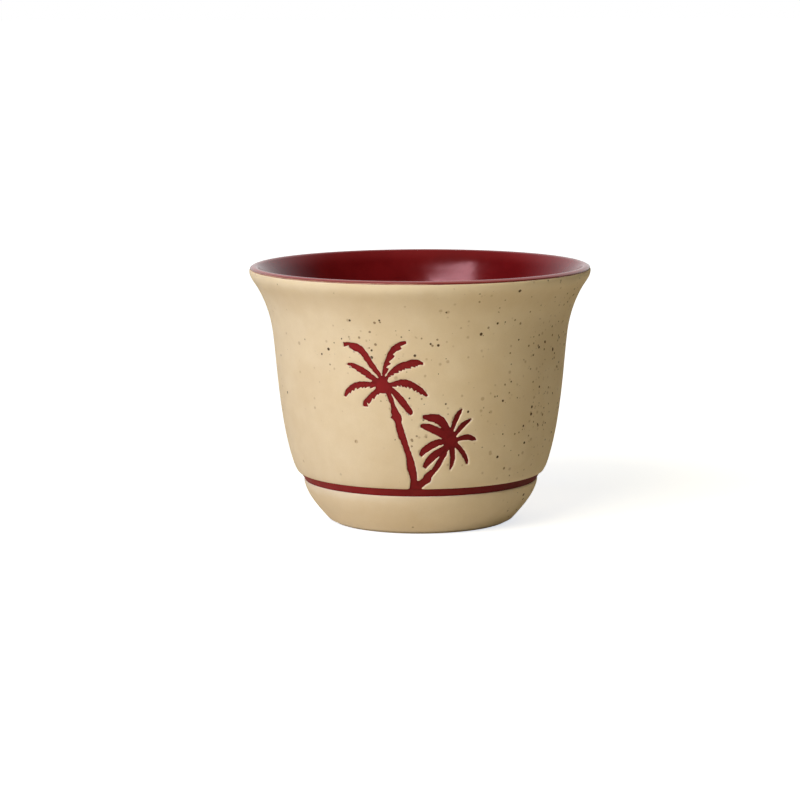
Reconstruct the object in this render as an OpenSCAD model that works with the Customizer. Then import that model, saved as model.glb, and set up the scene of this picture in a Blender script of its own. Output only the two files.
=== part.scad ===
// A small stoneware cup without a handle, for coffee. The clay body stands on a foot ring.
// Its coats of glaze are separate solids that lie on the clay and on each other's ends.
// The axis of the cup is the Z axis, and the cup stands on the plane Z = 0.

/* [Cup] */
// Outer diameter of the rim
rim_d = 65; // [58:1:76]
// Height of the cup
cup_h = 49; // [44:1:60]
// Thickness of the rounded lip
lip_t = 2; // [1.6:0.1:2.6]
// Thickness of the side wall
wall_t = 3.2; // [2.4:0.1:4]
// Thickness of the floor in the middle
floor_t = 5; // [3.6:0.1:6.5]

/* [Outline] */
// Inset of the foot on the table from the rim
foot_inset = 15.2; // [13.5:0.1:17]
// Inset of the side just under the band from the rim
heel_inset = 10.05; // [9.3:0.05:11]
// Inset of the side just above the band from the rim
shoulder_inset = 9; // [8.3:0.1:9.2]
// Inset of the side from the rim where it turns upright
belly_inset = 7.6; // [7:0.1:8]
// Inset of the side from the rim at half height
waist_inset = 5.6; // [5:0.1:6.3]
// Inset of the side from the rim under the flare
neck_inset = 4.4; // [3.8:0.1:4.9]
// Height of the belly above the band
belly_rise = 3.5; // [2.6:0.1:4.4]
// Height of the waist above the band
waist_rise = 14.5; // [12:0.5:17]
// Drop from the rim to the neck
neck_drop = 13; // [11:0.5:14]

/* [Foot] */
// Width of the foot ring
ring_w = 3.2; // [2.4:0.1:5]
// Depth of the recess under the foot
recess_h = 1.3; // [0.9:0.1:2]
// Height of the bare clay under the foot coat
bare_h = 0.35; // [0.2:0.05:0.8]
// Radius of the round in the corner of the recess
recess_round = 0.8; // [0.4:0.1:0.9]

/* [Glaze] */
// Thickness of the coats and of the liner
coat_t = 0.4; // [0.25:0.05:0.6]
// Thickness of the red glaze in the band and in the palms
inlay_t = 0.15; // [0.1:0.01:0.2]
// Thickness of the glaze under the foot
base_glaze_t = 0.25; // [0.15:0.05:0.5]
// Angle on the lip where the red liner meets the beige coat
rim_line_angle = 26; // [0:1:60]

/* [Band] */
// Height of the lower edge of the band
band_z = 8; // [6.5:0.1:10]
// Height of the band
band_h = 1.5; // [1:0.1:2.4]

/* [Palms] */
// Place of the tall palm's crown, to the right of the front
tall_crown_x = -6.9; // [-10:0.1:-4]
// Height of the tall palm's crown above the band
tall_crown_rise = 19.9; // [16:0.1:21]
// Reach of the tall palm's fronds
tall_reach = 8; // [6:0.1:9]
// Width of the tall palm's trunk
tall_trunk_w = 1.5; // [1:0.1:1.8]
// Place of the tall palm's root, to the right of the front
tall_root_x = -1.2; // [-3:0.1:-1]
// Place of the short palm's crown, to the right of the front
short_crown_x = 5.8; // [4:0.1:8]
// Height of the short palm's crown above the band
short_crown_rise = 9.5; // [8:0.1:12]
// Reach of the short palm's fronds
short_reach = 6; // [4:0.1:6.4]
// Width of the short palm's trunk
short_trunk_w = 1.5; // [1:0.1:1.8]
// Place of the short palm's root, to the right of the front
short_root_x = -0.7; // [-0.9:0.1:1]

/* [Hidden] */
$fn = 120;

// Steps along each stretch of the outline, along the lip and along the bowl of the inside
wall_steps = 4;
lip_steps = 5;
bowl_steps = 8;
// Steps along a frond and along a trunk
frond_steps = 8;
trunk_steps = 14;

rim_r = rim_d / 2;
foot_r = rim_r - foot_inset;
heel_r = rim_r - heel_inset;
shoulder_r = rim_r - shoulder_inset;
belly_r = rim_r - belly_inset;
waist_r = rim_r - waist_inset;
neck_r = rim_r - neck_inset;
lip_r = lip_t / 2;
lip_z = cup_h - lip_r;
lip_mid_r = rim_r - lip_r;
band_top = band_z + band_h;
recess_r = foot_r - ring_w;
floor_z = recess_h + floor_t;

// The outer outline is a smooth curve through knots of [height, radius, slope]. The slope is
// the growth of the radius with the height.
heel_slope = 0.12;
foot_slope = 0.93;
shoulder_slope = 0.7;
belly_slope = 0.28;
waist_slope = 0.125;
neck_slope = 0.115;
flare_slope = 0.56;
// The flare's knot, as shares of the drop and of the spread from the neck to the rim
flare_drop_share = 0.26;
flare_spread_share = 0.643;
flare_z = lip_z - flare_drop_share * (lip_z - (cup_h - neck_drop));
flare_r = neck_r + flare_spread_share * neck_inset;

foot_knots = [[0, foot_r, foot_slope], [band_z, heel_r, heel_slope]];
body_knots = [
    [band_top, shoulder_r, shoulder_slope],
    [band_top + belly_rise, belly_r, belly_slope],
    [band_top + waist_rise, waist_r, waist_slope],
    [cup_h - neck_drop, neck_r, neck_slope],
    [flare_z, flare_r, flare_slope],
    [lip_z, rim_r, 0]];

// The inside follows the outside at the wall's thickness, thinner in the flare, and ends in
// a round bowl above the floor.
flare_wall_share = 0.83;
// The round of the lip runs over to the inside as far as this angle, where the wall leans out
lip_end_angle = 137;
lip_end = [lip_mid_r + lip_r * cos(lip_end_angle), lip_z + lip_r * sin(lip_end_angle)];
inner_knots = [
    [band_top + waist_rise, waist_r - wall_t, waist_slope],
    [cup_h - neck_drop, neck_r - wall_t, neck_slope],
    [flare_z, flare_r - flare_wall_share * wall_t, flare_slope],
    [lip_end[1], lip_end[0], -tan(lip_end_angle)]];
bowl_top = [waist_r - wall_t, band_top + waist_rise];
bowl_flat_share = 0.3;
bowl_drop_share = 0.62;
bowl_sweep_share = 0.7;
bowl_edge = [bowl_flat_share * bowl_top[0], floor_z];
bowl_fall = bowl_drop_share * (bowl_top[1] - floor_z);
bowl_sweep = bowl_sweep_share * (bowl_top[0] - bowl_edge[0]);
bowl_curve = [
    bowl_top,
    [bowl_top[0] - waist_slope * bowl_fall, bowl_top[1] - bowl_fall],
    [bowl_edge[0] + bowl_sweep, floor_z],
    bowl_edge];

// A point on the curve between two knots, at share t of the way up, sunk by a depth into the
// wall at right angles to the curve
function knot_r(a, b, t) =
    (2 * t^3 - 3 * t^2 + 1) * a[1] + (t^3 - 2 * t^2 + t) * (b[0] - a[0]) * a[2]
    + (3 * t^2 - 2 * t^3) * b[1] + (t^3 - t^2) * (b[0] - a[0]) * b[2];
function knot_slope(a, b, t) =
    6 * (t^2 - t) * (a[1] - b[1]) / (b[0] - a[0])
    + (3 * t^2 - 4 * t + 1) * a[2] + (3 * t^2 - 2 * t) * b[2];
function skin_point(a, b, t, depth) =
    let (slope = knot_slope(a, b, t), length = norm([1, slope]))
    [knot_r(a, b, t) - depth / length, a[0] + (b[0] - a[0]) * t + depth * slope / length];

// The points of a curve through all the knots, from the lowest to the highest
function skin(knots, depth, first = 0) = concat(
    [skin_point(knots[0], knots[1], first, depth)],
    [for (i = [0 : len(knots) - 2], j = [1 : wall_steps])
        skin_point(knots[i], knots[i + 1],
                   i == 0 ? first + (1 - first) * j / wall_steps : j / wall_steps, depth)]);
function reversed(points) = [for (i = [len(points) - 1 : -1 : 0]) points[i]];

// The rounded lip, from one angle to another, at a depth in the lip
function lip(from, to, depth) = [
    for (i = [0 : lip_steps])
        let (angle = from + (to - from) * i / lip_steps)
        [lip_mid_r + (lip_r - depth) * cos(angle), lip_z + (lip_r - depth) * sin(angle)]];
function rest(points) = [for (i = [1 : len(points) - 1]) points[i]];
// The lip from an angle on its outside, over the top, to its inside
function lip_over(from, depth) =
    concat(lip(from, 90, depth), rest(lip(90, lip_end_angle, depth)));

// The bowl of the inside, from the wall down to the flat middle of the floor
function cubic(p, t) =
    (1 - t)^3 * p[0] + 3 * (1 - t)^2 * t * p[1] + 3 * (1 - t) * t^2 * p[2] + t^3 * p[3];
function cubic_way(p, t) =
    3 * (1 - t)^2 * (p[1] - p[0]) + 6 * (1 - t) * t * (p[2] - p[1]) + 3 * t^2 * (p[3] - p[2]);
function bowl(depth) = [
    for (i = [0 : bowl_steps])
        let (way = cubic_way(bowl_curve, i / bowl_steps))
        cubic(bowl_curve, i / bowl_steps) + depth * [-way[1], way[0]] / norm(way)];

// The inside from the lip to the middle of the floor, sunk by a depth into the clay
function inside(depth) = concat(
    reversed(skin(inner_knots, -depth)), rest(bowl(depth)), [[0, floor_z - depth]]);

// The foot's curve starts above the bare clay, at this share of its height
bare_share = bare_h / band_z;
recess_steps = 5;
recess_corner = [recess_r - recess_round, recess_h - recess_round];
// The ring's outer edge is eased where it stands on the table
ring_edge = bare_h / 2;

module clay_body() {
    foot = skin(foot_knots, coat_t, bare_share);
    color("tan") rotate_extrude() polygon(concat(
        [[0, recess_h]],
        [for (i = [recess_steps : -1 : 0])
            recess_corner + recess_round * [cos(90 * i / recess_steps), sin(90 * i / recess_steps)]],
        [[recess_r, 0], [foot_r - coat_t - ring_edge, 0], [foot_r - coat_t, ring_edge]],
        foot,
        skin(body_knots, coat_t),
        rest(lip_over(0, coat_t)),
        rest(inside(coat_t))));
}

module liner_glaze() {
    color("darkred") rotate_extrude() polygon(concat(
        lip_over(rim_line_angle, 0),
        rest(inside(0)),
        reversed(rest(inside(coat_t))),
        reversed(lip_over(rim_line_angle, coat_t))));
}

// The beige coat of the body in section, from the band to the line on the lip
module coat_section(outer_depth) {
    polygon(concat(coat_line(outer_depth), reversed(coat_line(coat_t))));
}
function coat_line(depth) =
    concat(skin(body_knots, depth), rest(lip(0, rim_line_angle, depth)));

module upper_coat() {
    color("burlywood") difference() {
        rotate_extrude() coat_section(0);
        tall_palm();
        short_palm();
    }
}

module foot_coat() {
    color("burlywood") rotate_extrude() polygon(concat(
        skin(foot_knots, 0, bare_share),
        reversed(skin(foot_knots, coat_t, bare_share))));
}

// The groove of the band lies between the ends of the two coats, and the red glaze fills a
// part of its depth
module band_glaze() {
    color("darkred") rotate_extrude() polygon([
        skin_point(foot_knots[0], foot_knots[1], 1, coat_t),
        skin_point(foot_knots[0], foot_knots[1], 1, coat_t - inlay_t),
        skin_point(body_knots[0], body_knots[1], 0, coat_t - inlay_t),
        skin_point(body_knots[0], body_knots[1], 0, coat_t)]);
}

module base_glaze() {
    edge_r = recess_r - recess_round;
    color("wheat") translate([0, 0, recess_h - base_glaze_t])
        cylinder(r = edge_r, h = base_glaze_t);
}

// A palm is drawn flat, to the right and up from the middle of its crown, and is cut through
// the front of the coat. Each frond is a row of shares of the reach: where its tip is, where
// the point that bends it is, and its width. Then comes the share of the width that its tip
// keeps, and the depth of its teeth as a share of the width.
tall_frond_shares = [
    [[-0.9, 0.93], [-0.42, 0.98], 0.165, 0.3, 0],
    [[-0.82, 0.49], [-0.54, 0.43], 0.15, 0.1, 0.12],
    [[-0.88, -0.3], [-0.52, 0.16], 0.15, 0.1, 0.45],
    [[-0.43, -0.5], [-0.2, -0.2], 0.14, 0.5, 0.3],
    [[0.55, 1.03], [0.05, 0.78], 0.15, 0.1, 0.5],
    [[0.92, 0.54], [0.37, 0.6], 0.165, 0.1, 0.3],
    [[1.03, -0.23], [0.56, 0.2], 0.155, 0.1, 0.35],
    [[0.63, -0.66], [0.42, -0.17], 0.16, 0.75, 0]];
short_frond_shares = [
    [[-0.9, 0.73], [-0.36, 0.9], 0.23, 0.1, 0],
    [[-0.98, 0.46], [-0.63, 0.43], 0.2, 0.2, 0],
    [[-0.98, -0.47], [-0.68, 0.02], 0.2, 0.2, 0],
    [[-0.86, -0.87], [-0.47, -0.32], 0.23, 0.1, 0],
    [[0.33, 0.97], [0.04, 0.53], 0.15, 0, 0],
    [[0.62, 0.67], [0.27, 0.39], 0.125, 0, 0],
    [[0.73, -0.03], [0.47, 0.17], 0.15, 0.1, 0],
    [[0.43, -0.77], [0.32, -0.29], 0.135, 0.4, 0],
    [[-0.08, -0.97], [0.08, -0.5], 0.165, 0, 0]];
// A frond starts at this share of its full width and is widest at about half its length
frond_root_share = 0.45;
frond_peak = 1.3;
tall_crown_share = 0.17;
short_crown_share = 0.16;
// The points that bend a trunk, as shares of the way from the root to the crown
tall_bend_shares = [[0, 0.27], [0.36, 0.62]];
short_bend_shares = [[0.3, 0.28], [0.66, 0.6]];
// A trunk narrows to this share at the crown and swells at its leaf scars
trunk_top_share = 0.6;
trunk_swell_share = 0.15;
trunk_swells = 4;
trunk_swell_start = 60;
// The trunk ends this share of the way from the root to the middle of the crown
trunk_end_share = 0.96;

function quadratic(bend, tip, t) = 2 * (1 - t) * t * bend + t^2 * tip;
function quadratic_way(bend, tip, t) = 2 * (1 - t) * bend + 2 * t * (tip - bend);
function frond_half(width, tip_share, t) = width / 2 * max(
    sin(180 * t^frond_peak), frond_root_share * (1 - t) + tip_share * t);

// One side of a frond, from the crown out to the tip. The side is 1 on the left of the way
// out and -1 on the right of it. Every second point is drawn in by the depth of the teeth.
function frond_side(row, reach, side, teeth) = [
    for (i = [0 : 2 * frond_steps])
        let (t = i / (2 * frond_steps),
             way = quadratic_way(row[1], row[0], t),
             half = reach * frond_half(row[2], row[3], t) * (1 - teeth * (i % 2)))
        reach * quadratic(row[1], row[0], t) + side * half * [-way[1], way[0]] / norm(way)];
function frond(row, reach) =
    let (to_right = row[0][0] > 0)
    concat(frond_side(row, reach, -1, to_right ? row[4] : 0),
           reversed(frond_side(row, reach, 1, to_right ? 0 : row[4])));

// A trunk's centre line runs up from the root to the crown
function trunk_curve(root, crown, bends) = [
    root,
    [for (k = [0, 1]) root[k] + bends[0][k] * (crown[k] - root[k])],
    [for (k = [0, 1]) root[k] + bends[1][k] * (crown[k] - root[k])],
    crown];
function trunk_half(width, t) = width / 2 * (
    1 - (1 - trunk_top_share) * t
    + trunk_swell_share * sin(360 * trunk_swells * t + trunk_swell_start));
function trunk_side(curve, width, side) = [
    for (i = [0 : trunk_steps])
        let (t = trunk_end_share * i / trunk_steps, way = cubic_way(curve, t))
        cubic(curve, t) + side * trunk_half(width, t) * [-way[1], way[0]] / norm(way)];
function trunk(root, crown, bends, width) =
    let (curve = trunk_curve(root, crown, bends))
    concat(trunk_side(curve, width, -1), reversed(trunk_side(curve, width, 1)));

module cut_through_front() {
    rotate([90, 0, 0]) linear_extrude(rim_d) children();
}

module palm(crown, root, bends, trunk_w, rows, reach, crown_r) {
    cut_through_front() {
        polygon(trunk(root, crown, bends, trunk_w));
        translate(crown) circle(crown_r, $fn = 24);
        for (row = rows) translate(crown) polygon(frond(row, reach));
    }
}

// The roots lie inside the band, so that the cut runs out through the coat's lower end
root_z = band_z + band_h / 2;

module tall_palm() {
    palm([tall_crown_x, band_top + tall_crown_rise], [tall_root_x, root_z], tall_bend_shares,
         tall_trunk_w, tall_frond_shares, tall_reach, tall_crown_share * tall_reach);
}

module short_palm() {
    palm([short_crown_x, band_top + short_crown_rise], [short_root_x, root_z],
         short_bend_shares, short_trunk_w, short_frond_shares, short_reach,
         short_crown_share * short_reach);
}

module tall_palm_glaze() {
    color("darkred") intersection() {
        rotate_extrude() coat_section(coat_t - inlay_t);
        tall_palm();
    }
}

module short_palm_glaze() {
    color("darkred") difference() {
        intersection() {
            rotate_extrude() coat_section(coat_t - inlay_t);
            short_palm();
        }
        tall_palm();
    }
}

clay_body();
liner_glaze();
upper_coat();
foot_coat();
band_glaze();
tall_palm_glaze();
short_palm_glaze();
base_glaze();
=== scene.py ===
"""The looks of a small stoneware coffee cup with a glossy maroon inside and two sunk palms.

Lengths are in millimetres until a mesh is made, and in metres in the scene.
"""

import math

import bmesh
import bpy
import numpy as np
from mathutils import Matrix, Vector
from mathutils.geometry import delaunay_2d_cdt


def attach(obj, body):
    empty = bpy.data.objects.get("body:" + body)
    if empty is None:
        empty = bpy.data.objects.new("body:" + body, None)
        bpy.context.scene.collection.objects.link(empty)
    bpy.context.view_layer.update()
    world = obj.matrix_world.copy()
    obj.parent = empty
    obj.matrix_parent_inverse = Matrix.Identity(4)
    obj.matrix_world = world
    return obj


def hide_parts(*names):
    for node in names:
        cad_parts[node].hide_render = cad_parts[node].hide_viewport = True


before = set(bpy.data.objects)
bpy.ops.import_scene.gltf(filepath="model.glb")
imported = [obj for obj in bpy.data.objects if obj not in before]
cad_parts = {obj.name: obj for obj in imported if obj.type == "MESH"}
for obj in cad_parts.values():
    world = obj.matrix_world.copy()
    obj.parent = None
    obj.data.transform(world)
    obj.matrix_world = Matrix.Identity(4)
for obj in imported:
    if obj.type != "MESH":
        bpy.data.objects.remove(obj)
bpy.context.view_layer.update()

MM = 0.001

# How far the camera looks down at the cup, in degrees
CAMERA_ELEVATION = 8.05

# Sizes of the cup
CUP_H = 49.0
RIM_R = 32.498
LIP_T = 2.0
WALL_T = 3.2
FLOOR_Z = 6.3
FOOT_R = 17.3
HEEL_R = 22.45
SHOULDER_R = 23.5
BELLY_R = 24.9
WAIST_R = 26.9
NECK_R = 28.1
BAND_Z = 8.0
BAND_TOP = 9.5
BELLY_Z = 13.0
WAIST_Z = 24.0
NECK_Z = 36.0
FLARE_Z = 44.88
FLARE_R = 30.93
FLARE_WALL_SHARE = 0.83
RING_W = 3.2
RING_ROUND = 0.25
RECESS_H = 1.3
RECESS_ROUND = 0.8
INNER_FOOT_R = FOOT_R - RING_W
RECESS_R = INNER_FOOT_R - RECESS_ROUND
BARE_H = 0.35
COAT_T = 0.4
INLAY_T = 0.15
BASE_GLAZE_T = 0.25
RIM_LINE_ANGLE = 26.0
LIP_END_ANGLE = 137.0
LIP_R = LIP_T / 2
LIP_Z = CUP_H - LIP_R
LIP_MID_R = RIM_R - LIP_R
LIP_END = (LIP_MID_R + LIP_R * math.cos(math.radians(LIP_END_ANGLE)),
           LIP_Z + LIP_R * math.sin(math.radians(LIP_END_ANGLE)))

# The bowl inside: its flat's share of its top, and how far the curve reaches from each end
BOWL_FLAT_SHARE = 0.3
BOWL_FALL_SHARE = 0.62
BOWL_SWEEP_SHARE = 0.7

# Slopes of the outline at its knots
FOOT_SLOPE = 0.93
HEEL_SLOPE = 0.12
SHOULDER_SLOPE = 0.7
BELLY_SLOPE = 0.28
WAIST_SLOPE = 0.125
NECK_SLOPE = 0.115
FLARE_SLOPE = 0.56

# The coats end a hair above the clay, so that no two pieces share a facet
HAIR = 0.01
COAT_BACK = COAT_T - HAIR
INLAY_DEPTH = COAT_T - INLAY_T
# A coat's end rounds off over this width, from this depth at its end face
EDGE_REACH = 0.4
EDGE_DROP = 0.19
# The red glaze in a groove climbs its walls a little
MENISCUS = 0.05
MENISCUS_REACH = 0.2
WALL_DEPTH = INLAY_DEPTH - MENISCUS
# The liner ends in a low bead, and then falls off
BEAD_H = 0.05
BEAD_AT = 0.22
BEAD_W = 0.16
LINER_END_DROP = 0.09
LINER_END_W = 0.06
# The upper coat thins a little where it meets the liner
COAT_TOP_DROP = 0.05
COAT_TOP_W = 0.12
# The glaze under the foot stops short of the recess's side, thins there and is flat inside
BASE_EDGE_GAP = 0.02
BASE_EDGE_T = 0.04
BASE_FLAT_SHARE = 0.6

SEGMENTS = 288
COLUMN = 360.0 / SEGMENTS

FOOT_KNOTS = [(0.0, FOOT_R, FOOT_SLOPE), (BAND_Z, HEEL_R, HEEL_SLOPE)]
BODY_KNOTS = [
    (BAND_TOP, SHOULDER_R, SHOULDER_SLOPE),
    (BELLY_Z, BELLY_R, BELLY_SLOPE),
    (WAIST_Z, WAIST_R, WAIST_SLOPE),
    (NECK_Z, NECK_R, NECK_SLOPE),
    (FLARE_Z, FLARE_R, FLARE_SLOPE),
    (LIP_Z, RIM_R, 0.0)]
INNER_KNOTS = [
    (WAIST_Z, WAIST_R - WALL_T, WAIST_SLOPE),
    (NECK_Z, NECK_R - WALL_T, NECK_SLOPE),
    (FLARE_Z, FLARE_R - FLARE_WALL_SHARE * WALL_T, FLARE_SLOPE),
    (LIP_END[1], LIP_END[0], -math.tan(math.radians(LIP_END_ANGLE)))]


def unit(rows):
    return rows / np.linalg.norm(rows, axis=-1, keepdims=True)


def arc(middle, radius, start, end, steps):
    """Points on an arc from one angle in degrees to another."""
    angle = np.radians(np.linspace(start, end, steps + 1))
    return np.asarray(middle) + radius * np.stack([np.cos(angle), np.sin(angle)], 1)


def hump(x, middle, width):
    return np.exp(-((x - middle) / width)**2)


def line_lengths(points):
    """How far along a line each of its points lies."""
    steps = np.linalg.norm(np.diff(points, axis=0), axis=1)
    return np.concatenate([[0.0], np.cumsum(steps)])


def picked(marks, along, pairs):
    """Pairs of values at marks along a line."""
    return np.stack([np.interp(marks, along, pairs[:, k]) for k in (0, 1)], -1)


class Skin:
    """A line of the section with the way out of the surface at each point."""

    def __init__(self, points, ways):
        self.points = np.asarray(points, float)
        self.ways = unit(np.asarray(ways, float))
        self.along = line_lengths(self.points)
        self.length = self.along[-1]

    def at(self, along, depth=0.0):
        """Points [radius, height] at lengths along the line, sunk by a depth."""
        out = unit(picked(along, self.along, self.ways))
        return picked(along, self.along, self.points) - np.asarray(depth)[..., None] * out

    def length_at_height(self, z):
        return np.interp(z, self.points[:, 1], self.along)

    def joined(self, other):
        return Skin(np.concatenate([self.points, other.points[1:]]),
                    np.concatenate([self.ways, other.ways[1:]]))


def knot_skin(knots, first=0.0, inward=False, steps=60):
    """A smooth line through knots of a height, a radius and a slope."""
    points, ways = [], []
    for i, (a, b) in enumerate(zip(knots, knots[1:])):
        t = np.linspace(first if i == 0 else 0.0, 1.0, steps + 1)[0 if i == 0 else 1:]
        span = b[0] - a[0]
        r = ((2 * t**3 - 3 * t**2 + 1) * a[1] + (t**3 - 2 * t**2 + t) * span * a[2]
             + (3 * t**2 - 2 * t**3) * b[1] + (t**3 - t**2) * span * b[2])
        slope = (6 * (t**2 - t) * (a[1] - b[1]) / span
                 + (3 * t**2 - 4 * t + 1) * a[2] + (3 * t**2 - 2 * t) * b[2])
        points.append(np.stack([r, a[0] + span * t], 1))
        ways.append(np.stack([np.ones_like(t), -slope], 1) * (-1 if inward else 1))
    return Skin(np.concatenate(points), np.concatenate(ways))


def lip_skin(start, end, steps=40):
    way = arc((0, 0), 1, start, end, steps)
    return Skin([LIP_MID_R, LIP_Z] + LIP_R * way, way)


def bowl_skin(steps=120):
    top_r = WAIST_R - WALL_T
    edge_r = BOWL_FLAT_SHARE * top_r
    fall = BOWL_FALL_SHARE * (WAIST_Z - FLOOR_Z)
    sweep = BOWL_SWEEP_SHARE * (top_r - edge_r)
    p = np.array([[top_r, WAIST_Z], [top_r - WAIST_SLOPE * fall, WAIST_Z - fall],
                  [edge_r + sweep, FLOOR_Z], [edge_r, FLOOR_Z]])
    t = np.linspace(0, 1, steps + 1)[:, None]
    points = ((1 - t)**3 * p[0] + 3 * (1 - t)**2 * t * p[1]
              + 3 * (1 - t) * t**2 * p[2] + t**3 * p[3])
    way = ((1 - t)**2 * (p[1] - p[0]) + 2 * (1 - t) * t * (p[2] - p[1])
           + t**2 * (p[3] - p[2]))
    return Skin(points, np.stack([way[:, 1], -way[:, 0]], 1))


def flat_skin(start_r, z, steps=24):
    r = np.linspace(start_r, 0.0, steps + 1)
    return Skin(np.stack([r, np.full_like(r, z)], 1), np.tile([0.0, 1.0], (steps + 1, 1)))


foot_skin = knot_skin(FOOT_KNOTS, BARE_H / BAND_Z)
body_skin = knot_skin(BODY_KNOTS)
coat_skin = body_skin.joined(lip_skin(0, RIM_LINE_ANGLE, 16))
inner_skin = knot_skin(INNER_KNOTS, inward=True)
bowl = bowl_skin()
inside_skin = Skin(inner_skin.points[::-1], inner_skin.ways[::-1]).joined(bowl)
inside_skin = inside_skin.joined(flat_skin(bowl.points[-1, 0], FLOOR_Z))
liner_skin = lip_skin(RIM_LINE_ANGLE, LIP_END_ANGLE, 48).joined(inside_skin)


def edge_depth(distance):
    """How deep a coat's surface lies at a distance from the coat's end."""
    x = np.clip(distance / EDGE_REACH, 0, 1)
    return EDGE_DROP * (1 - np.sqrt(1 - (1 - x)**2))


def inlay_depth(distance):
    """How deep the surface of the red glaze in a groove lies at a distance from its wall."""
    x = np.clip(distance / MENISCUS_REACH, 0, 1)
    return INLAY_DEPTH - MENISCUS * (1 - x)**2


# Meshes

def add_mesh(name, points, faces, node, sharp=50):
    mesh = bpy.data.meshes.new(name)
    mesh.from_pydata([tuple(p) for p in np.asarray(points) * MM], [], faces)
    bm = bmesh.new()
    bm.from_mesh(mesh)
    bmesh.ops.recalc_face_normals(bm, faces=bm.faces)
    bm.to_mesh(mesh)
    bm.free()
    mesh.shade_smooth()
    mesh.set_sharp_from_angle(angle=math.radians(sharp))
    piece = bpy.data.objects.new(name, mesh)
    bpy.context.scene.collection.objects.link(piece)
    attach(piece, "root")
    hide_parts(node)
    return piece


def keep_gap(piece, gap):
    """Keeps for the glaze how far each vertex lies from the end of its coat."""
    kept = piece.data.attributes.new("end_gap", "FLOAT", "POINT")
    kept.data.foreach_set("value", np.asarray(gap, np.float32))


def turn(section, azimuth):
    """Points [radius, height] turned to an azimuth, which is 0 in front and grows to the right."""
    r, z = np.moveaxis(np.asarray(section, float), -1, 0)
    return np.stack(np.broadcast_arrays(r * np.sin(azimuth), -r * np.cos(azimuth), z), -1)


def revolve(name, section, node, sharp=50):
    """A closed section turned all the way round. Points on the axis become one vertex."""
    section = np.asarray(section, float)
    azimuths = np.radians(np.arange(SEGMENTS) * COLUMN)
    points, index = [], np.zeros((len(section), SEGMENTS), int)
    for i, (r, z) in enumerate(section):
        if r < 1e-6:
            index[i] = len(points)
            points.append((0.0, 0.0, z))
        else:
            index[i] = len(points) + np.arange(SEGMENTS)
            points.extend(turn([r, z], azimuths))
    faces = []
    for i in range(len(section)):
        k = (i + 1) % len(section)
        for j in range(SEGMENTS):
            n = (j + 1) % SEGMENTS
            corners = (index[i, j], index[i, n], index[k, n], index[k, j])
            face = list(dict.fromkeys(int(v) for v in corners))
            if len(face) > 2:
                faces.append(face)
    return add_mesh(name, points, faces, node, sharp)


def spaced(length, gap, ends):
    """Lengths from 0 to a length, with the given ones at both ends and even gaps between."""
    ends = np.asarray(ends, float)
    middle = np.linspace(ends[-1], length - ends[-1], max(2, int(length / gap)))
    return np.concatenate([ends[:-1], middle, (length - ends[:-1])[::-1]])


END_STEPS = [0.0, 0.01, 0.04, 0.09, 0.17, 0.26, EDGE_REACH]

# The clay, with its foot ring and the recess under it
ease = BARE_H / 2
clay_section = np.concatenate([
    [[0.0, RECESS_H]],
    arc([RECESS_R, RECESS_H - RECESS_ROUND], RECESS_ROUND, 90, 0, 12),
    arc([INNER_FOOT_R + RING_ROUND, RING_ROUND], RING_ROUND, 180, 270, 6),
    arc([FOOT_R - COAT_T - ease, ease], ease, -90, 0, 6),
    foot_skin.at(np.linspace(0, foot_skin.length, 28), COAT_T),
    body_skin.at(np.linspace(0, body_skin.length, 80), COAT_T),
    lip_skin(0, LIP_END_ANGLE).at(
        np.linspace(0, math.radians(LIP_END_ANGLE) * LIP_R, 16)[1:], COAT_T),
    inside_skin.at(np.linspace(0, inside_skin.length, 90)[1:], COAT_T)])
clay = revolve("clay", clay_section, "clay_body", 40)

# The liner, with a low bead where it ends outside the lip, and finer rows over the lip
over_lip = 2.6
liner_along = np.concatenate([
    np.linspace(0, over_lip, 66), np.linspace(over_lip, liner_skin.length, 120)[1:]])
bead = (BEAD_H * hump(liner_along, BEAD_AT, BEAD_W)
        - LINER_END_DROP * hump(liner_along, 0, LINER_END_W))
liner_section = np.concatenate([
    liner_skin.at(liner_along, -bead),
    liner_skin.at(liner_along[::-2], COAT_BACK)])
liner = revolve("liner", liner_section, "liner_glaze")

# The beige coat of the foot, rounded at both ends
foot_along = spaced(foot_skin.length, 0.3, END_STEPS)
foot_gap = foot_skin.length - foot_along
foot_section = np.concatenate([
    foot_skin.at(foot_along, edge_depth(np.minimum(foot_along, foot_gap))),
    foot_skin.at(foot_along[::-1], COAT_BACK)])
coat_foot = revolve("coat_foot", foot_section, "foot_coat")
keep_gap(coat_foot, np.repeat(np.concatenate([foot_gap, foot_gap[::-1]]), SEGMENTS))

# The red band in the groove between the coats
low_wall = foot_skin.at([foot_skin.length] * 2, [COAT_BACK, WALL_DEPTH])
high_wall = body_skin.at([0.0] * 2, [WALL_DEPTH, COAT_BACK])
share = np.linspace(0, 1, 15)[:, None]
span = high_wall[0] - low_wall[1]
band_out = unit(np.array([span[1], -span[0]]))
wall_gap = np.minimum(share, 1 - share) * np.linalg.norm(span)
fall = 1 - np.clip(1 - wall_gap / MENISCUS_REACH, 0, 1)**2
across = low_wall[1] + span * share - band_out * MENISCUS * fall
band_section = np.concatenate([[low_wall[0]], across, [high_wall[1]]])
band = revolve("band", band_section, "band_glaze")
keep_gap(band, np.repeat(np.concatenate([[0], wall_gap[:, 0], [0]]), SEGMENTS))

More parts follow.
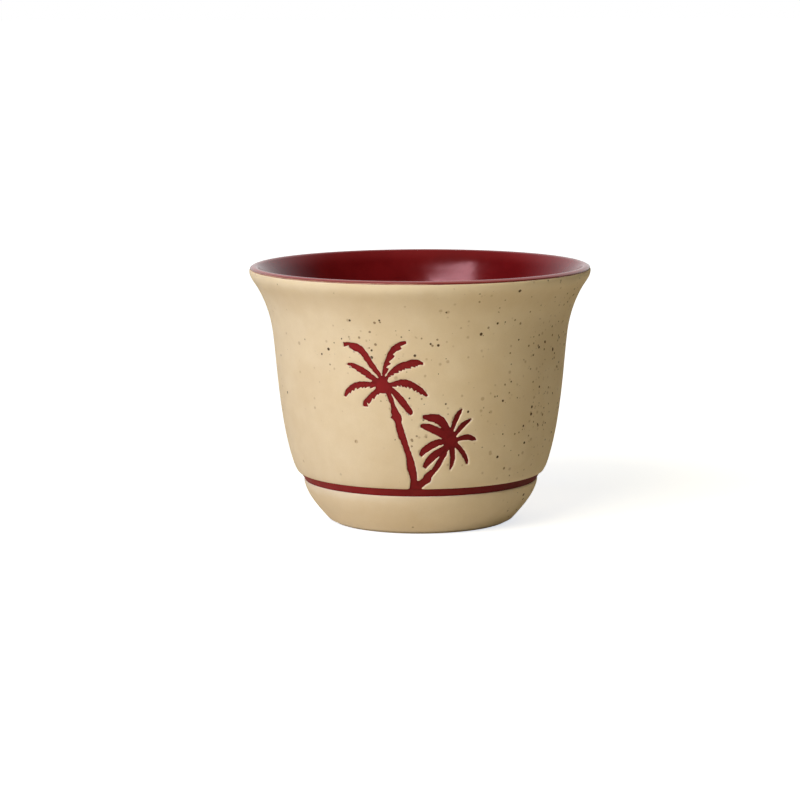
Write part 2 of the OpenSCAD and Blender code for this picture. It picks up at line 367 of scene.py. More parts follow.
# The thin glaze under the foot, with a rounded edge
base_r = RECESS_R - BASE_EDGE_GAP
base_turn = np.radians(np.linspace(0, 90, 7))
base_low = RECESS_H - BASE_GLAZE_T
base_section = np.concatenate([
    [[0.0, RECESS_H - HAIR], [base_r, RECESS_H - HAIR]],
    np.stack([base_r - BASE_GLAZE_T * (1 - np.cos(base_turn)),
              RECESS_H - BASE_EDGE_T - (BASE_GLAZE_T - BASE_EDGE_T) * np.sin(base_turn)], 1),
    [[RECESS_R * BASE_FLAT_SHARE, base_low], [0.0, base_low]]])
base_skin = revolve("base_skin", base_section, "base_glaze")


# The palms. A frond is drawn as it is seen from the camera: a smooth line through points given
# as shares of the reach, sideways and up from the crown, each with the frond's width there.
# Then come the depth of its teeth in millimetres and their number. A trunk is its left side
# and its right side, each up from the root.
VIEW_SLOPE = math.tan(math.radians(CAMERA_ELEVATION))
TALL_CROWN = (-6.9, BAND_TOP + 19.9)
TALL_REACH = 8.0
TALL_FRONDS = [
    ([(-0.075, 0.222, 0.075), (-0.17, 0.352, 0.085), (-0.29, 0.512, 0.1), (-0.4, 0.69, 0.115),
      (-0.51, 0.82, 0.125), (-0.61, 0.875, 0.15), (-0.7, 0.915, 0.115), (-0.79, 0.96, 0.055),
      (-0.9, 0.95, 0.095)], 0.1, 6),
    ([(-0.15, 0.115, 0.09), (-0.27, 0.19, 0.105), (-0.4, 0.292, 0.12), (-0.54, 0.38, 0.11),
      (-0.675, 0.457, 0.085), (-0.81, 0.51, 0.04)], 0.2, 6),
    ([(-0.21, 0.008, 0.105), (-0.33, 0.014, 0.105), (-0.46, 0.018, 0.115), (-0.605, -0.005, 0.125),
      (-0.72, -0.057, 0.11), (-0.82, -0.15, 0.09), (-0.88, -0.245, 0.045)], 0.44, 7),
    ([(-0.1, -0.105, 0.1), (-0.23, -0.23, 0.11), (-0.32, -0.325, 0.11), (-0.395, -0.4, 0.1),
      (-0.405, -0.485, 0.09)], 0.48, 4),
    ([(0.045, 0.27, 0.085), (0.065, 0.405, 0.085), (0.115, 0.54, 0.105), (0.18, 0.68, 0.125),
      (0.255, 0.805, 0.13), (0.39, 0.915, 0.11), (0.48, 0.97, 0.075), (0.535, 0.99, 0.03)],
     0.8, 5),
    ([(0.13, 0.215, 0.06), (0.2, 0.28, 0.09), (0.295, 0.35, 0.125), (0.43, 0.425, 0.145),
      (0.565, 0.462, 0.15), (0.7, 0.502, 0.145), (0.835, 0.51, 0.1), (0.925, 0.498, 0.04)],
     0.36, 9),
    ([(0.195, 0.01, 0.09), (0.395, 0.05, 0.115), (0.565, 0.033, 0.15), (0.72, -0.035, 0.125),
      (0.855, -0.12, 0.115), (0.96, -0.2, 0.075), (1.02, -0.245, 0.035)], 0.34, 9),
    ([(0.13, -0.05, 0.08), (0.245, -0.145, 0.09), (0.355, -0.268, 0.12), (0.46, -0.398, 0.13),
      (0.545, -0.512, 0.115), (0.62, -0.612, 0.1), (0.655, -0.68, 0.05)], 0, 0)]
TALL_TRUNK = (
    [(-2.3, 8.75), (-2.05, 9.6), (-1.9, 10.9), (-1.95, 11.9), (-2.5, 13.9), (-2.62, 15.8),
     (-3.12, 17.45), (-3.62, 18.9), (-4.12, 19.9), (-4.45, 21.4), (-4.65, 22.45), (-5.1, 23.1),
     (-5.45, 23.35), (-5.2, 23.75), (-5.38, 24.3), (-5.38, 25.6), (-5.72, 26.5), (-6.15, 27.6),
     (-6.75, 28.8)],
    [(0.0, 8.75), (-0.35, 9.9), (-0.65, 11.1), (-0.8, 13.0), (-1.28, 15.2), (-2.28, 18.3),
     (-2.88, 20.35), (-3.5, 22.4), (-3.45, 23.35), (-3.85, 24.2), (-4.7, 25.75),
     (-5.05, 27.0), (-5.5, 27.9), (-6.0, 29.0)])
SHORT_CROWN = (5.8, BAND_TOP + 9.5)
SHORT_REACH = 6.08
SHORT_FRONDS = [
    ([(-0.05, 0.154, 0.14), (-0.14, 0.31, 0.16), (-0.255, 0.495, 0.215), (-0.38, 0.625, 0.245),
      (-0.545, 0.675, 0.23), (-0.72, 0.705, 0.15), (-0.88, 0.725, 0.08)], 0.16, 5),
    ([(-0.12, 0.08, 0.14), (-0.23, 0.145, 0.18), (-0.43, 0.275, 0.205), (-0.635, 0.37, 0.195),
      (-0.81, 0.425, 0.145), (-0.955, 0.445, 0.09)], 0, 0),
    ([(-0.12, -0.03, 0.12), (-0.24, -0.045, 0.13), (-0.43, -0.07, 0.165), (-0.655, -0.18, 0.185),
      (-0.83, -0.3, 0.165), (-0.96, -0.46, 0.1)], 0.1, 4),
    ([(-0.14, -0.115, 0.08), (-0.28, -0.265, 0.115), (-0.42, -0.37, 0.165),
      (-0.56, -0.48, 0.185), (-0.715, -0.635, 0.16), (-0.845, -0.84, 0.1)], 0, 0),
    ([(0.0, 0.12, 0.09), (0.005, 0.31, 0.065), (0.048, 0.47, 0.085), (0.142, 0.7, 0.105),
      (0.212, 0.83, 0.09), (0.308, 0.95, 0.03)], 0, 0),
    ([(0.06, 0.12, 0.09), (0.15, 0.245, 0.08), (0.24, 0.362, 0.105), (0.373, 0.5, 0.11),
      (0.485, 0.585, 0.065), (0.59, 0.662, 0.02)], 0, 0),
    ([(0.12, 0.0, 0.1), (0.205, 0.038, 0.085), (0.373, 0.088, 0.12), (0.53, 0.088, 0.13),
      (0.65, 0.045, 0.1), (0.73, 0.008, 0.03)], 0, 0),
    ([(0.08, -0.09, 0.12), (0.14, -0.15, 0.11), (0.27, -0.3, 0.11), (0.38, -0.465, 0.1),
      (0.445, -0.62, 0.065), (0.46, -0.73, 0.05)], 0, 0),
    ([(0.0, -0.12, 0.15), (0.0, -0.255, 0.13), (0.018, -0.435, 0.115), (0.015, -0.595, 0.11),
      (-0.015, -0.75, 0.07), (-0.062, -0.905, 0.02)], 0, 0)]
SHORT_TRUNK = (
    [(-0.6, 8.75), (-0.6, 10.95), (-0.2, 11.3), (0.25, 11.6), (0.7, 12.35), (1.28, 13.0),
     (2.08, 13.5), (2.95, 14.95), (3.8, 16.25), (4.5, 17.05), (5.3, 18.5)],
    [(0.0, 8.75), (0.05, 9.55), (0.6, 10.2), (1.18, 10.65), (1.8, 11.1), (2.02, 11.8),
     (2.38, 12.5), (3.15, 13.35), (3.65, 14.15), (4.2, 15.25), (4.8, 16.35), (5.0, 17.0),
     (6.0, 18.3)])

# The round heart where the fronds meet
TALL_HEART_R = 1.25
TALL_HEART_DROP = 0.25
SHORT_HEART_R = 0.84
# Millimetres added to a frond's width between its root and its tip
FROND_SPREAD = 0.09
# Where on a frond its teeth begin, how they vary, how far they stand out and what they leave
TEETH_FROM_SHARE = 0.16
TOOTH_SHIFT_SHARE = 0.2
TOOTH_DEPTH_SHARES = (0.6, 1.3)
TOOTH_OUT_SHARE = 0.3
FROND_LEFT_SHARE = 0.1
# The radius that the unrolled coat is drawn at
FLAT_R = 26.0

dice = np.random.default_rng(11)


def smooth_line(points, steps):
    """A curve through all the points, which are rows of any length."""
    p = np.asarray(points, float)
    p = np.concatenate([[2 * p[0] - p[1]], p, [2 * p[-1] - p[-2]]])
    t = np.linspace(0, 1, steps, endpoint=False)[:, None]
    pieces = [0.5 * (2 * b + (c - a) * t + (2 * a - 5 * b + 4 * c - d) * t**2
                     + (3 * b - a - 3 * c + d) * t**3)
              for a, b, c, d in zip(p, p[1:], p[2:], p[3:])]
    return np.concatenate(pieces + [p[-2:-1]])


def frond_outline(crown, reach, points, teeth, count):
    line = smooth_line([(0.0, 0.0, points[0][2])] + points, 16) * reach
    half = np.maximum(line[:, 2], 0.0) / 2
    line = line[:, :2]
    way = np.gradient(line, axis=0)
    share = line_lengths(line)
    share /= share[-1]
    half = half + FROND_SPREAD * np.clip(5 * share - 0.6, 0, 1) * np.clip(8 - 8 * share, 0, 1)
    lower = half.copy()
    if count:
        marks = np.linspace(TEETH_FROM_SHARE, 1.0, count + 1)
        marks += dice.uniform(-TOOTH_SHIFT_SHARE, TOOTH_SHIFT_SHARE, count + 1) / count
        depth = teeth * dice.uniform(*TOOTH_DEPTH_SHARES, count)
        for start, end, one in zip(marks, marks[1:], depth):
            past = (share - start) / (end - start)
            cut = one * (1 - past) - TOOTH_OUT_SHARE * one
            lower -= np.where((past >= 0) & (past < 1), cut, 0)
    lower = np.maximum(lower, FROND_LEFT_SHARE * half)
    side = -1 if line[-1, 0] > 0 else 1
    across = unit(np.stack([-way[:, 1], way[:, 0]], 1))
    out = line + side * lower[:, None] * across
    back = line - side * half[:, None] * across
    outline = np.concatenate([out, back[::-1]]) + np.array(crown)
    # From the plane that the camera sees to the height on the cup
    middle = depth_of(np.array([crown]))
    outline[:, 1] -= (depth_of(outline) - middle) * VIEW_SLOPE
    return outline


def depth_of(points):
    """How far behind the axis points of the front view lie on the cup."""
    radius = body_skin.at(body_skin.length_at_height(points[:, 1]))[:, 0]
    return -np.sqrt(radius**2 - points[:, 0]**2)


def circle_outline(middle, radius):
    angle = np.linspace(0, 2 * np.pi, 33)[:-1]
    return np.array(middle) + radius * np.stack([np.cos(angle), np.sin(angle)], 1)


def unrolled(outline):
    """An outline seen from the front, laid on the unrolled coat: [sideways, up from the band]."""
    along = body_skin.length_at_height(outline[:, 1])
    radius = body_skin.at(along)[:, 0]
    azimuth = np.arcsin(np.clip(outline[:, 0] / radius, -1, 1))
    below = np.minimum(outline[:, 1] - BAND_TOP, 0)
    return np.stack([azimuth * FLAT_R, along + below], 1)


def palm_outlines(trunk, crown, reach, fronds, heart_r, heart_drop=0.0):
    """The outlines that make a palm together: its trunk, its heart and its fronds."""
    left, right = [smooth_line(side, 6) for side in trunk]
    outlines = [np.concatenate([left, right[::-1]]),
                circle_outline((crown[0], crown[1] - heart_drop), heart_r)]
    outlines += [frond_outline(crown, reach, *row) for row in fronds]
    return [unrolled(outline) for outline in outlines]


def column_u(column):
    """The place on the unrolled coat of a column of the even grid."""
    return math.radians(column * COLUMN) * FLAT_R


# The patch of the coat that holds the palms, between two columns of the even grid
LEFT_COLUMN = -30
RIGHT_COLUMN = 22
LEFT_U = column_u(LEFT_COLUMN)
RIGHT_U = column_u(RIGHT_COLUMN)
PATCH_TOP_Z = 39.6
PATCH_TOP = float(body_skin.length_at_height(PATCH_TOP_Z))
# The grid that distances to the palms are worked out on, up to FAR
FIELD_STEP = 0.06
FIELD_PAST = 0.5
FAR = 1.6
# Outlines closer than this run together: in a palm, between the palms and at the band
WEB = 0.32
PALMS_WEB = 0.2
BAND_WEB = 0.5
# The drawn palms spread a little, and their outlines waver
SPREAD = 0.045
WAVER = 0.03
WAVER_LENGTH = 0.9
us = np.arange(LEFT_U - FIELD_PAST, RIGHT_U + FIELD_PAST, FIELD_STEP)
vs = np.arange(-FIELD_PAST - FIELD_STEP / 2, PATCH_TOP + FIELD_PAST, FIELD_STEP)


def smooth_min(a, b, width):
    near = np.maximum(width - np.abs(a - b), 0) / width
    return np.minimum(a, b) - near**2 * width / 4


def distance_field(outlines):
    """Distance on the unrolled coat to the nearest outline, negative inside one."""
    field = np.full((len(vs), len(us)), FAR)
    for outline in outlines:
        low, high = outline.min(0) - FAR, outline.max(0) + FAR
        j = np.flatnonzero((us > low[0]) & (us < high[0]))
        i = np.flatnonzero((vs > low[1]) & (vs < high[1]))
        pu, pv = np.meshgrid(us[j], vs[i])
        near = np.full(pu.shape, FAR**2)
        inside = np.zeros(pu.shape, bool)
        for a, b in zip(outline, np.roll(outline, -1, axis=0)):
            d = b - a
            t = np.clip(((pu - a[0]) * d[0] + (pv - a[1]) * d[1]) / max(d @ d, 1e-12), 0, 1)
            near = np.minimum(near, (pu - a[0] - t * d[0])**2 + (pv - a[1] - t * d[1])**2)
            if a[1] != b[1]:
                crosses = (a[1] > pv) != (b[1] > pv)
                inside ^= crosses & (pu < a[0] + (pv - a[1]) * d[0] / d[1])
        signed = np.where(inside, -1, 1) * np.sqrt(near)
        block = np.ix_(i, j)
        field[block] = smooth_min(field[block], signed, WEB)
    return field


def ripple(pu, pv, wave, count=24):
    """An even, random up and down of a given wave length."""
    total = np.zeros(np.shape(pu))
    for _ in range(count):
        angle, phase = dice.uniform(0, 2 * np.pi, 2)
        k = 2 * np.pi / (wave * dice.uniform(0.6, 1.6))
        total += np.sin(k * (pu * math.cos(angle) + pv * math.sin(angle)) + phase)
    return total / math.sqrt(count)


tall_outlines = palm_outlines(TALL_TRUNK, TALL_CROWN, TALL_REACH, TALL_FRONDS,
                              TALL_HEART_R, TALL_HEART_DROP)
short_outlines = palm_outlines(SHORT_TRUNK, SHORT_CROWN, SHORT_REACH, SHORT_FRONDS,
                               SHORT_HEART_R)
grid_u, grid_v = np.meshgrid(us, vs)
waver = WAVER * ripple(grid_u, grid_v, WAVER_LENGTH)
tall_field = distance_field(tall_outlines) + waver - SPREAD
short_field = distance_field(short_outlines) + waver - SPREAD
palm_field = np.minimum(smooth_min(tall_field, short_field, PALMS_WEB), FAR)
coat_field = smooth_min(palm_field, grid_v, BAND_WEB)


def sample(field, u, v):
    """A field's values at any places."""
    x = np.clip((np.asarray(u) - us[0]) / FIELD_STEP, 0, len(us) - 1.001)
    y = np.clip((np.asarray(v) - vs[0]) / FIELD_STEP, 0, len(vs) - 1.001)
    j, i = x.astype(int), y.astype(int)
    x, y = x - j, y - i
    return ((1 - y) * ((1 - x) * field[i, j] + x * field[i, j + 1])
            + y * ((1 - x) * field[i + 1, j] + x * field[i + 1, j + 1]))


def level_lines(field, level):
    """The lines where a field is at a level, as arrays of points, and if each is closed."""
    f = field - level
    f[f == 0] = 1e-9
    high = f > 0
    links = {}

    def link(a, b):
        links.setdefault(a, []).append(b)
        links.setdefault(b, []).append(a)

    mixed = ((high[:-1, :-1] != high[:-1, 1:]) | (high[:-1, 1:] != high[1:, 1:])
             | (high[1:, :-1] != high[1:, 1:]))
    # A cut crosses the side of a cell that goes up from its corner, or else to the right of it
    sides = ((0, 0, 0), (1, 0, 1), (0, 1, 0), (1, 0, 0))
    for i, j in np.argwhere(mixed).tolist():
        cuts = [(up, i + di, j + dj) for up, di, dj in sides
                if high[i + di, j + dj] != high[i + di + up, j + dj + 1 - up]]
        for a, b in zip(cuts[::2], cuts[1::2]):
            link(a, b)

    def place(cut):
        up, i, j = cut
        t = f[i, j] / (f[i, j] - f[i + up, j + 1 - up])
        return (us[j] + t * (1 - up) * FIELD_STEP, vs[i] + t * up * FIELD_STEP)

    lines, seen = [], set()
    ends = [c for c, n in links.items() if len(n) == 1]
    for start in ends + list(links):
        if start in seen:
            continue
        chain, at = [start], start
        seen.add(start)
        while True:
            onward = [n for n in links[at] if n not in seen]
            if not onward:
                break
            at = onward[0]
            seen.add(at)
            chain.append(at)
        closed = len(links[start]) == 2 and start in links[at] and len(chain) > 2
        lines.append((np.array([place(c) for c in chain]), closed))
    return lines


def thinned(points, closed, gap):
    """A line smoothed a little and taken at even gaps."""
    if closed:
        points = (np.roll(points, 1, 0) + 2 * points + np.roll(points, -1, 0)) / 4
        points = np.concatenate([points, points[:1]])
    elif len(points) > 2:
        points[1:-1] = (points[:-2] + 2 * points[1:-1] + points[2:]) / 4
    along = line_lengths(points)
    count = max(4 if closed else 1, int(round(along[-1] / gap)))
    marks = np.linspace(0, along[-1], count + 1)
    if closed:
        marks = marks[:-1]
    return picked(marks, along, points)


# Rows of the coat's even grid, up from the band, and closer together over the lip
edge_rows = [0.0, 0.03, 0.09, 0.18, EDGE_REACH]
lip_start = body_skin.length - 1.4
low_rows = np.linspace(EDGE_REACH, PATCH_TOP, 39)[1:]
high_rows = np.linspace(PATCH_TOP, lip_start, 14)[1:]
lip_rows = np.linspace(lip_start, coat_skin.length, 15)[1:]
rows = np.concatenate([edge_rows, low_rows, high_rows, lip_rows])
patch_rows = len(edge_rows) + len(low_rows)
columns = [j if j <= SEGMENTS // 2 else j - SEGMENTS for j in range(SEGMENTS)]

# The grid's vertices and faces, with those inside the patch left out
flat_points = []
grid_index = -np.ones((len(rows), SEGMENTS), int)
for i, v in enumerate(rows):
    for j, column in enumerate(columns):
        if i < patch_rows - 1 and LEFT_COLUMN < column < RIGHT_COLUMN:
            continue
        grid_index[i, j] = len(flat_points)
        flat_points.append((column_u(column), v))
coat_faces = []
for i in range(len(rows) - 1):
    for j, column in enumerate(columns):
        if i < patch_rows - 1 and LEFT_COLUMN <= column < RIGHT_COLUMN:
            continue
        after = (j + 1) % SEGMENTS
        coat_faces.append([int(k) for k in (grid_index[i, j], grid_index[i, after],
                                            grid_index[i + 1, after], grid_index[i + 1, j])])

# The patch's own points and lines
seeds = []
seed_edges = []
seed_grid = {}
# How far below the coat's end the patch reaches, and the lines in the palms
PATCH_LOW = -0.4
LINES_LOW = -0.3
# Lines in the palms, besides those on the coat
PALM_LEVELS = [-0.2, -0.08]
# Gaps between points: on lines nearer the coat's end than a level, beyond it, and where the
# palms meet each other or the band
NEAR_LEVEL = 0.1
NEAR_GAP = 0.08
WIDE_GAP = 0.16
MEET_GAP = 0.14
LEAST_POINTS = 8
# Where the palms meet: the other is this near, and the coat and the band are this far
MEET_REACH = 0.1
MEET_CLEAR = 0.01
# The stretch of the band that the palms stand on, and how far the coat is from its points
ROOTS = (-3.5, 2.5)
ROOTS_CLEAR = 0.012
# The even grid's points are kept beyond these levels
GRID_OUT = EDGE_REACH + 0.15
GRID_IN = -0.35
MERGE = 1e-5


def seed(u, v, grid=None):
    seeds.append(Vector((u, v)))
    if grid is not None:
        seed_grid[len(seeds) - 1] = int(grid)
    return len(seeds) - 1


def join(chain):
    seed_edges.extend(zip(chain, chain[1:]))


def border_column(column):
    chain = [seed(column_u(column), v, grid_index[i, column % SEGMENTS])
             for i, v in enumerate(rows[:patch_rows])]
    join(chain)
    return chain


left_chain = border_column(LEFT_COLUMN)
right_chain = border_column(RIGHT_COLUMN)
inner_columns = range(LEFT_COLUMN + 1, RIGHT_COLUMN)
join([left_chain[-1]]
     + [seed(column_u(c), PATCH_TOP, grid_index[patch_rows - 1, c % SEGMENTS])
        for c in inner_columns]
     + [right_chain[-1]])
join([seed(LEFT_U, PATCH_LOW), seed(RIGHT_U, PATCH_LOW)])

for level in PALM_LEVELS + edge_rows:
    gap = NEAR_GAP if level < NEAR_LEVEL else WIDE_GAP
    for line, closed in level_lines(coat_field, level):
        keep = (line[:, 0] > LEFT_U) & (line[:, 0] < RIGHT_U)
        opened = not closed and not keep.all()
        line = line[keep]
        if len(line) < LEAST_POINTS:
            continue
        if level < 0 and not closed:
            line = line[line[:, 1] > LINES_LOW]
        flip = line[0, 0] > line[-1, 0]
        chain = [seed(u, v) for u, v in thinned(line[::-1] if flip else line, closed, gap)]
        if opened and level >= 0:
            row = edge_rows.index(level)
            chain = [left_chain[row]] + chain[1:-1] + [right_chain[row]]
        join(chain + chain[:1] if closed else chain)

# Where the palms meet, and where their glaze ends on the band
for line, closed in level_lines(tall_field, 0.0):
    keep = ((sample(short_field, *line.T) < MEET_REACH)
            & (sample(coat_field, *line.T) < -MEET_CLEAR) & (line[:, 1] > MEET_CLEAR))
    line = line[keep]
    if len(line) > 3:
        join([seed(u, v) for u, v in thinned(line, False, MEET_GAP)])
roots = np.arange(*ROOTS, MEET_GAP)
join([seed(u, 0.0) for u in roots[sample(coat_field, roots, 0 * roots) < -ROOTS_CLEAR]])

for v in rows[len(edge_rows):patch_rows - 1]:
    for column in inner_columns:
        u = column_u(column)
        here = float(sample(coat_field, u, v))
        if here > GRID_OUT or here < GRID_IN:
            seed(u, v)

verts, _, tris, origins, _, _ = delaunay_2d_cdt(seeds, seed_edges, [], 0, MERGE)
patch_index = []
for point, origin in zip(verts, origins):
    known = [seed_grid[o] for o in origin if o in seed_grid]
    if known:
        patch_index.append(known[0])
    else:
        patch_index.append(len(flat_points))
        flat_points.append((point[0], point[1]))
flat_points = np.array(flat_points)
tris = np.array([[patch_index[k] for k in tri] for tri in tris])
middle = flat_points[tris].mean(1)
middle_coat = sample(coat_field, *middle.T)
middle_tall = sample(tall_field, *middle.T)
middle_short = sample(short_field, *middle.T)
on_coat = (middle_coat > 0) & (middle[:, 1] > 0)
in_palm = (middle_coat <= 0) & (middle[:, 1] > 0)
is_tall = (middle_tall < 0) | (middle_tall < middle_short)
coat_faces += tris[on_coat].tolist()
tall_faces = tris[in_palm & is_tall].tolist()
short_faces = tris[in_palm & ~is_tall].tolist()

azimuths = flat_points[:, 0] / FLAT_R
up = np.maximum(flat_points[:, 1], 0)
# Beyond the patch only the coat's lower end rounds off
in_patch = ((flat_points[:, 0] >= LEFT_U) & (flat_points[:, 0] <= RIGHT_U)
            & (flat_points[:, 1] <= PATCH_TOP))
wall_distance = np.where(in_patch, sample(coat_field, *flat_points.T), flat_points[:, 1])
top_gap = coat_skin.length - up
coat_top = COAT_TOP_DROP * hump(top_gap, 0, COAT_TOP_W)


def facing_out(faces):
    """Faces of the unrolled coat, all turned the same way."""
    turned = []
    for face in faces:
        p = flat_points[face[:3]]
        a, b = p[1] - p[0], p[2] - p[0]
        area = a[0] * b[1] - a[1] * b[0]
        wraps = p[:, 0].max() - p[:, 0].min() > FLAT_R * math.pi
        turned.append(face[::-1] if area < 0 and not wraps else face)
    return turned


def shell(name, flat_faces, front_depth, gap, node):
    """A closed sheet on the body between its front depth and the clay."""
    faces = facing_out(flat_faces)
    used = np.unique(np.concatenate([np.array(f) for f in faces]))
    new = -np.ones(len(flat_points), int)
    new[used] = np.arange(len(used))
    front = turn(coat_skin.at(up[used], front_depth[used]), azimuths[used])
    back = turn(coat_skin.at(up[used], COAT_BACK), azimuths[used])
    count = len(used)
    made, sides = [], {}
    for face in faces:
        face = [int(new[k]) for k in face]
        made.append(face)
        made.append([k + count for k in reversed(face)])
        for a, b in zip(face, face[1:] + face[:1]):
            if sides.pop((b, a), None) is None:
                sides[(a, b)] = True
    for a, b in sides:
        made.append([b, a, a + count, b + count])
    piece = add_mesh(name, np.concatenate([front, back]), made, node, sharp=60)
    keep_gap(piece, np.concatenate([gap[used], gap[used]]))
    return piece


coat_gap = np.maximum(wall_distance, 0)
coat_upper = shell("coat_upper", coat_faces, edge_depth(coat_gap) + coat_top,
                   np.minimum(coat_gap, top_gap), "upper_coat")
palm_gap = np.maximum(-wall_distance, 0)
palm_depth = inlay_depth(palm_gap)
palm_tall = shell("palm_tall", tall_faces, palm_depth, palm_gap,
                  "tall_palm_glaze")
palm_short = shell("palm_short", short_faces, palm_depth, palm_gap,
                   "short_palm_glaze")


# Materials

class Tree:
    """Adds nodes to the tree of a material or a world."""

    def __init__(self, owner):
        owner.use_nodes = True
        self.tree = owner.node_tree
        self.tree.nodes.clear()

    def add(self, kind, inputs=None, **facts):
        """A node, with a value or another node's output for each of the inputs given."""
        node = self.tree.nodes.new(kind)
        for name, value in facts.items():
            setattr(node, name, value)
        for socket, value in (inputs or {}).items():
            if isinstance(value, bpy.types.NodeSocket):
                self.tree.links.new(value, node.inputs[socket])
            else:
                node.inputs[socket].default_value = value
        return node

    def vector(self, operation, inputs, output=0):
        return self.add("ShaderNodeVectorMath", inputs, operation=operation).outputs[output]

    def math(self, operation, a, b):
        return self.add("ShaderNodeMath", {0: a, 1: b}, operation=operation).outputs[0]

    def ramp(self, value, low, high, to_low=0.0, to_high=1.0, smooth=True):
        """A value taken from one range to another and held at its ends."""
        ranges = {"Value": value, "From Min": low, "From Max": high,
                  "To Min": to_low, "To Max": to_high}
        kind = "SMOOTHSTEP" if smooth else "LINEAR"
        return self.add("ShaderNodeMapRange", ranges, interpolation_type=kind).outputs[0]


class Glaze(Tree):
    """The look of a glaze or of the clay, made from its place in millimetres."""

    def __init__(self, name):
        self.material = bpy.data.materials.new(name)
        super().__init__(self.material)
        place = self.add("ShaderNodeTexCoord").outputs["Object"]
        self.place = self.vector("SCALE", {0: place, "Scale": 1 / MM})

    def axes(self):
        """How far to the right, back and up a place lies."""
        return self.add("ShaderNodeSeparateXYZ", {0: self.place}).outputs

    def noise(self, scale, detail=2.0, rough=0.5, place=None):
        inputs = {"Vector": place or self.place, "Scale": scale, "Detail": detail,
                  "Roughness": rough}
        return self.add("ShaderNodeTexNoise", inputs).outputs[0]

    def vary(self, low, high, *noise):
        """A noise taken from low to high."""
        return self.ramp(self.noise(*noise), 0.3, 0.7, low, high, False)

    def mix(self, share, *colours):
        """Two colours mixed. Each is a node's output or three screen values from 0 to 255."""
        a, b = [linear(*c) if isinstance(c, tuple) else c for c in colours]
        return self.add("ShaderNodeMix", {0: share, 6: a, 7: b}, data_type="RGBA").outputs[2]

    def cloud(self, colour, tint, scale, detail, rough, low, high, least=0.0, most=1.0):
        """The colour, with a share of a tint that grows where a noise is high."""
        share = self.ramp(self.noise(scale, detail, rough), low, high, least, most)
        return self.mix(share, colour, tint)

    def cells(self, gap, shift):
        """Random points in space: the distance to the nearest, in millimetres, and its colour."""
        moved = self.vector("ADD", {0: self.place, 1: (shift, -shift, 0.4 * shift)})
        node = self.add("ShaderNodeTexVoronoi", {"Vector": moved, "Scale": 1 / gap})
        parts = self.add("ShaderNodeSeparateColor", {0: node.outputs["Color"]})
        return self.math("MULTIPLY", node.outputs["Distance"], gap), parts.outputs

    def round_specks(self, colour, tint, gap, shift, chances, sizes, edge):
        """The colour with specks of a tint at some of the random points."""
        distance, chance = self.cells(gap, shift)
        there = self.ramp(chance[0], *chances)
        size = self.ramp(chance[1], 0, 1, *sizes, False)
        dot = self.ramp(self.math("SUBTRACT", size, distance), 0, edge)
        return self.mix(self.math("MULTIPLY", dot, there), colour, tint)

    def bump(self, height, depth_mm, normal=None):
        inputs = {"Strength": 1.0, "Distance": depth_mm * MM, "Height": height}
        if normal is not None:
            inputs["Normal"] = normal
        return self.add("ShaderNodeBump", inputs).outputs[0]

    def finish(self, colour, roughness, normal, specular, tint=(1, 1, 1, 1)):
        shader = self.add("ShaderNodeBsdfPrincipled", {
            "Base Color": colour, "Roughness": roughness, "Normal": normal, "IOR": 1.5,
            "Specular IOR Level": specular, "Specular Tint": tint})
        self.add("ShaderNodeOutputMaterial", {0: shader.outputs[0]})
        return self.material


def linear(r, g, b):
    """A screen colour from 0 to 255 as a scene colour."""
    parts = [c / 255 for c in (r, g, b)]
    return tuple(c / 12.92 if c <= 0.04045 else ((c + 0.055) / 1.055)**2.4
                 for c in parts) + (1.0,)


# Where the glazes change, from one place to another: heights
SPECKS_SET_IN = (7.0, 24.0)
SPECKS_THIN_OUT = (41.0, 46.0)
LIT_RIM = (46.3, 47.6)
RIM_SHADE_LOW = (41.5, 44.6)
RIM_SHADE_HIGH = (46.9, 45.4)
UNDER_BAND_LOW = (6.2, 7.6)
UNDER_BAND_HIGH = (9.0, 8.6)
FLARE_SHEEN = (46.6, 48.7)
LIP_CREST = (48.25, 48.8)
# Radii
CREST_RADII = (30.7, 31.6)
BROWN_LINE = (32.08, 32.2)
PALE_LINE = (32.27, 32.38)
# From left to right
SPECKS_RIGHT = (-20, 20)
UNDER_BAND_LEFT = (4.0, -12.0)
BROWN_LINE_SHADED_RIGHT = (-2.0, 4.0)
SHADED_RIGHT = (-9, 17)


